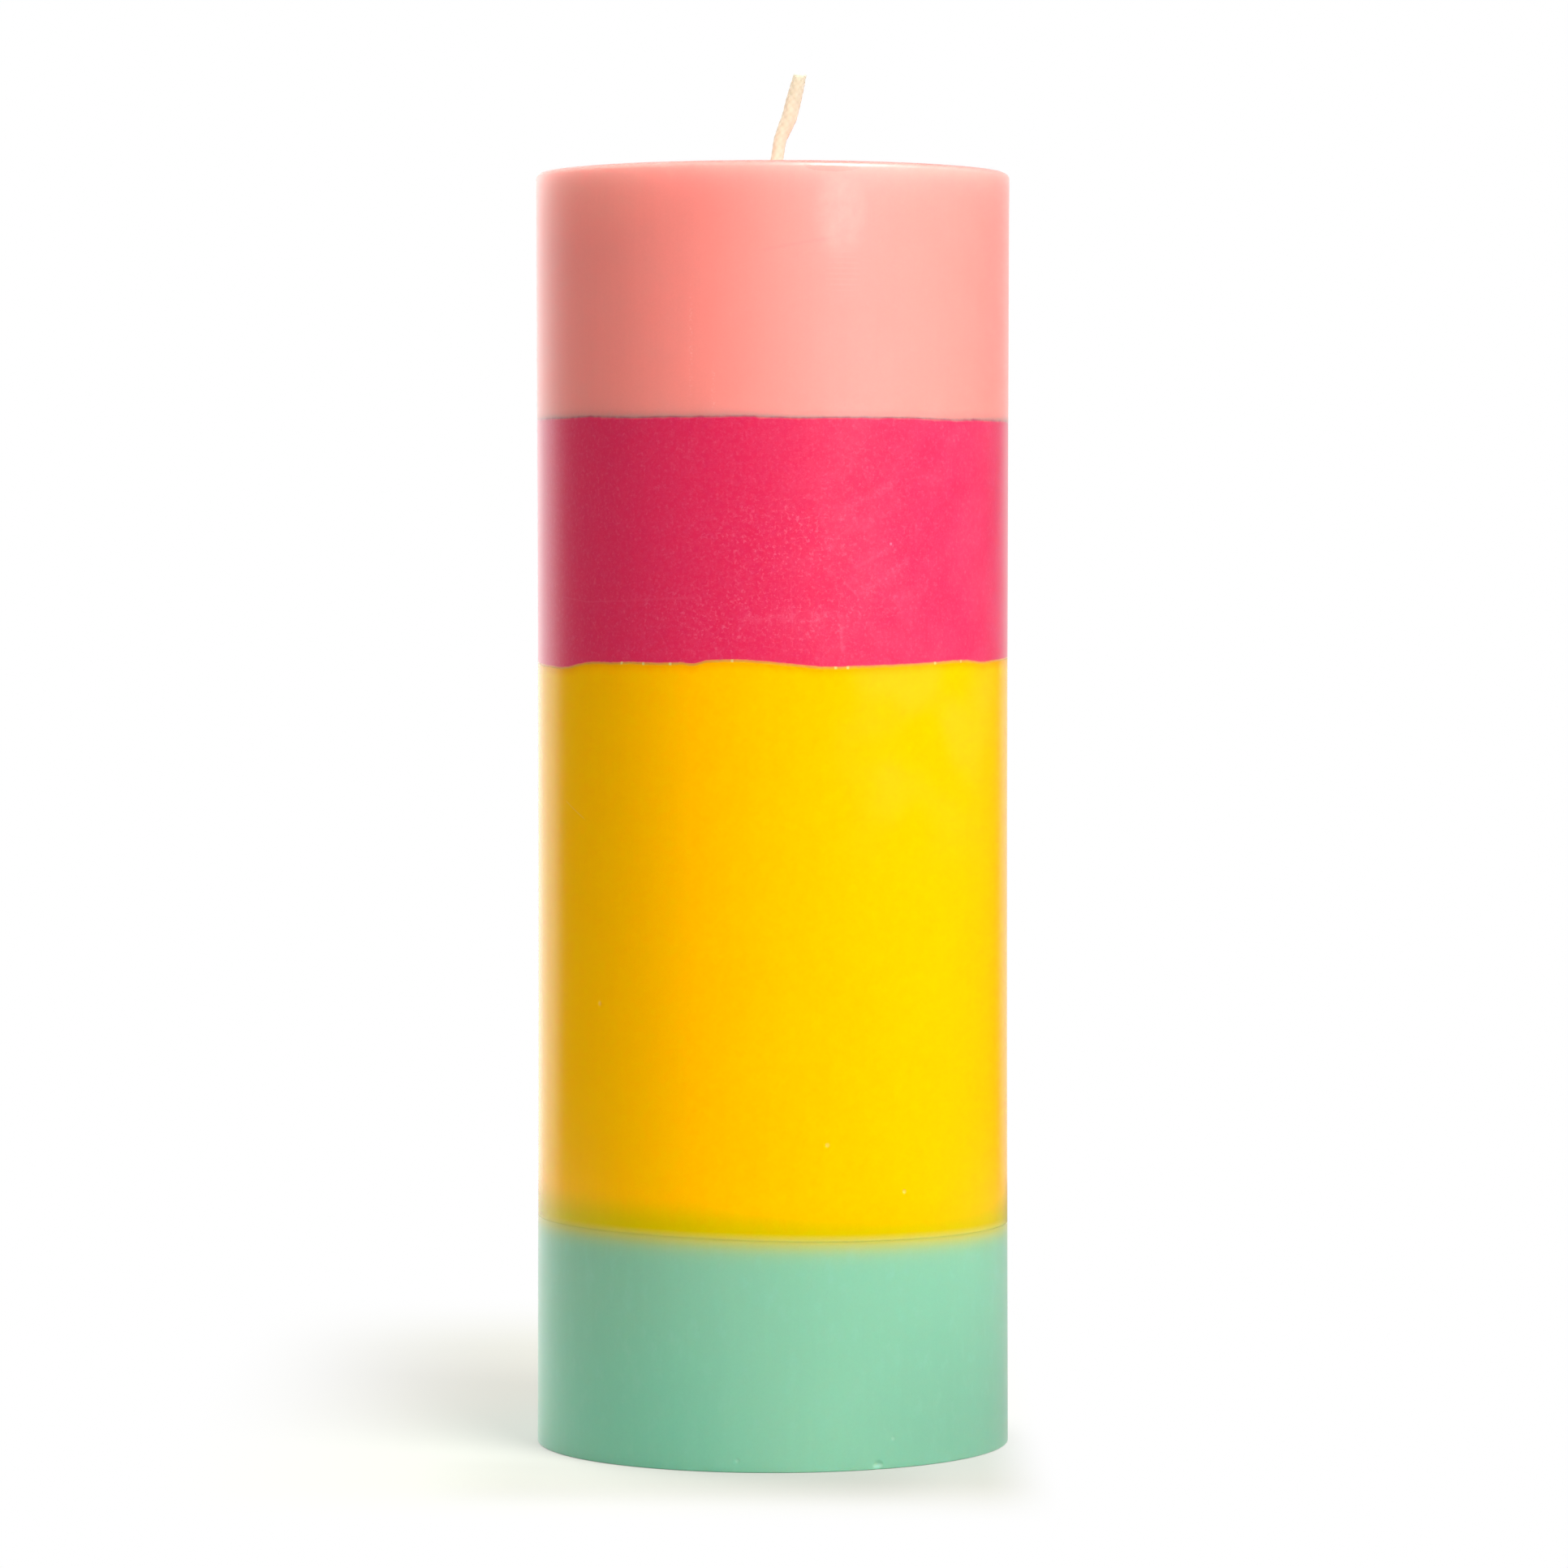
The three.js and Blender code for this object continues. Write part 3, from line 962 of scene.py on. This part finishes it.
def sustainer():
    """The stamped tab, with its neck drawn up round the wick and crimped on it from four sides."""
    tab_top = tab_bottom + sheet
    half = sheet / 2
    fillet = mouth_round / 2
    outline = [
        *arc((bore_radius + mouth_round, tab_bottom + mouth_round), mouth_round, -180, -90, 5),
        *arc((tab_radius - half, tab_bottom + half), half, -90, 90, 6),
        *arc((neck_radius + fillet, tab_top + fillet), fillet, -90, -180, 4),
        *arc((bore_radius + half, neck_top - half), half, 0, 180, 6),
    ]
    ring = spun(outline, lambda low, high: tab_step)
    for vert in ring.verts:
        radius = math.hypot(vert.co.x, vert.co.y)
        place = math.atan2(vert.co.x, -vert.co.y)
        if radius > neck_radius + mouth_round:
            vert.co.z += bead_rise * eased(abs(radius - bead_radius), bead_half_width, 0)
        elif vert.co.z > tab_top + mouth_round:
            sideways = abs(math.sin(place)) > abs(math.cos(place))
            wick_half = (wick_width if sideways else wick_thickness) / 2
            from_crimp = abs(vert.co.z - crimp_height)
            crimp = max(0, math.cos(4 * place)) * eased(from_crimp, crimp_reach, 0)
            shrink = 1 - (bore_radius - wick_half - crimp_gap) * crimp / radius
            vert.co.x *= shrink
            vert.co.y *= shrink
    bmesh.ops.recalc_face_normals(ring, faces=ring.faces)
    return finished("crimped_sustainer", ring, tinned_steel(), "wick_sustainer")


# The studio

# The camera, as the photograph's perspective gives it
camera_place = (1.775, -997.5, 140.2)
camera_dip = 2.081  # how many degrees it looks down
lens = 145.04
sensor = 36

# How bright the room is, in itself and as the wax reflects it, and the white screen in it
room_level = 0.37
room_in_gloss = 0.03
screen_level = 1.6

# The soft edges of that screen, in degrees from straight behind the candle towards +X. Every edge in
# this section runs from nothing to full.
screen_edges = ((-57, -44), (33, 27.5))

# The table, which lies a hair under the foot, with the edges in x and in y of its shadow and of the
# painted shadow that greys it a little before the foot
table_radius = 420
table_gap = 0.02
shadow_x, shadow_y = ((-98, -40), (44, 31)), ((-90, -42), (195, 110))
painted_shadow_x, painted_shadow_y = ((-56, -36), (30, 12)), ((-74, -44), (-10, -32))


def light(name, bearing, elevation, distance, size, level):
    """A round soft light on the middle of the candle, with its distance and size in metres. Its level
    is what a white wall facing it shows."""
    data = bpy.data.lights.new(name, "AREA")
    data.shape = "DISK"
    data.size = size
    data.energy = level * (math.pi * distance) ** 2
    lamp = bpy.data.objects.new(name, data)
    turn, rise = math.radians(bearing), math.radians(elevation)
    towards = Vector(
        (math.sin(turn) * math.cos(rise), -math.cos(turn) * math.cos(rise), math.sin(rise))
    )
    lamp.location = Vector((0, 0, candle_height / 2 * MM)) + towards * distance
    lamp.rotation_euler = towards.to_track_quat("Z", "Y").to_euler()
    lamp.visible_camera = False
    bpy.context.scene.collection.objects.link(lamp)
    return lamp


def lit_room(shade, bearing, dim, shown):
    """How bright the room is all round: dim, but for the white screen behind the candle, which falls
    off towards both its edges and more to the right."""
    left = 0.75 + 0.25 * shade.smooth(bearing, -38, -18)
    right = 0.35 + 0.65 * shade.smooth(bearing, 25, -20)
    screen = shade.band(bearing, *screen_edges) * left * right
    return dim + (screen_level - dim) * screen * shown


def kind_of_ray(shade):
    """Whether a ray comes from the camera, from a reflection or through something clear."""
    path = shade.node("ShaderNodeLightPath").socket.node
    names = ("Is Camera Ray", "Is Glossy Ray", "Is Transmission Ray")
    return [Wire(shade, path.outputs[name]) for name in names]


def studio_world():
    """The room, which the camera sees as plain white."""
    world = bpy.data.worlds.new("studio")
    world.use_nodes = True
    bpy.context.scene.world = world
    shade = Shade(world.node_tree)
    direction = shade.node("ShaderNodeTexCoord", output="Generated")
    x = shade.node("ShaderNodeSeparateXYZ", Vector=direction)
    y, z = (Wire(shade, output) for output in x.socket.node.outputs[1:])
    bearing = shade.math("DEGREES", shade.math("ARCTAN2", x, y))
    seen, glossy, through = kind_of_ray(shade)
    # In reflections the screen is no taller than the candle, so that the rim doesn't catch it
    above_screen = glossy * shade.smooth(z, 0.12, 0.3)
    dim = room_level + (room_in_gloss - room_level) * glossy
    strength = lit_room(shade, bearing, dim, 1 - above_screen)
    strength = strength + (1 - strength) * shade.math("MAXIMUM", seen, through)
    background = world.node_tree.nodes["Background"]
    shade.finish(background, {"Color": WHITE, "Strength": strength})


def floor():
    """The white table, which keeps the shadow only round the foot, as the photograph does."""
    plane = bmesh.new()
    bmesh.ops.create_circle(plane, cap_ends=True, segments=128, radius=table_radius * MM)
    data = bpy.data.meshes.new("floor")
    plane.to_mesh(data)
    plane.free()
    material, shade, shader = new_material("pale_table")
    matte = {"Base Color": (0.5, 0.51, 0.45, 1), "Roughness": 0.9, "Specular IOR Level": 0}
    shade.finish(shader, matte)
    surface = Surface(shade)
    seen, glossy, through = kind_of_ray(shade)
    shadow = shade.band(surface.x, *shadow_x) * shade.band(surface.y, *shadow_y)
    # Painted shadow that greys the table a little before the foot
    grey = shade.band(surface.x, *painted_shadow_x) * shade.band(surface.y, *painted_shadow_y)
    # Its reflection in the wax is whiter on the left
    reflected = 0.35 + 0.65 * shade.smooth(surface.x, 10, -30)
    strength = seen * (1 - 0.26 * grey) + through + glossy * reflected
    white = shade.node("ShaderNodeEmission", Strength=strength)
    share = shade.math("MINIMUM", (seen + glossy) * (1 - 0.68 * shadow) + through, 1)
    diffuse = Wire(shade, shader.outputs[0])
    table_top = shade.node("ShaderNodeMixShader", n0=share, n1=diffuse, n2=white)
    shade.fill(material.node_tree.nodes["Material Output"].inputs["Surface"], table_top)
    data.materials.append(material)
    table = bpy.data.objects.new("floor", data)
    table.location.z = -table_gap * MM
    bpy.context.scene.collection.objects.link(table)


def camera():
    """The camera of the photograph."""
    data = bpy.data.cameras.new("camera")
    data.sensor_width = sensor
    data.lens = lens
    seen_from = bpy.data.objects.new("camera", data)
    seen_from.location = Vector(camera_place) * MM
    seen_from.rotation_euler = Euler((math.radians(90 - camera_dip), 0, 0))
    bpy.context.scene.collection.objects.link(seen_from)
    bpy.context.scene.camera = seen_from


camera()
studio_world()
floor()
light("key", bearing=39, elevation=38, distance=1.1, size=0.8, level=1.62)
rear_light = light("rear_left", bearing=-135, elevation=50, distance=1.1, size=0.8, level=0.96)
rear_light.visible_glossy = False
mint_layer()
yellow_layer()
magenta_layer()
pink_layer()
wick()
sustainer()
bpy.context.scene.view_settings.view_transform = "Standard"
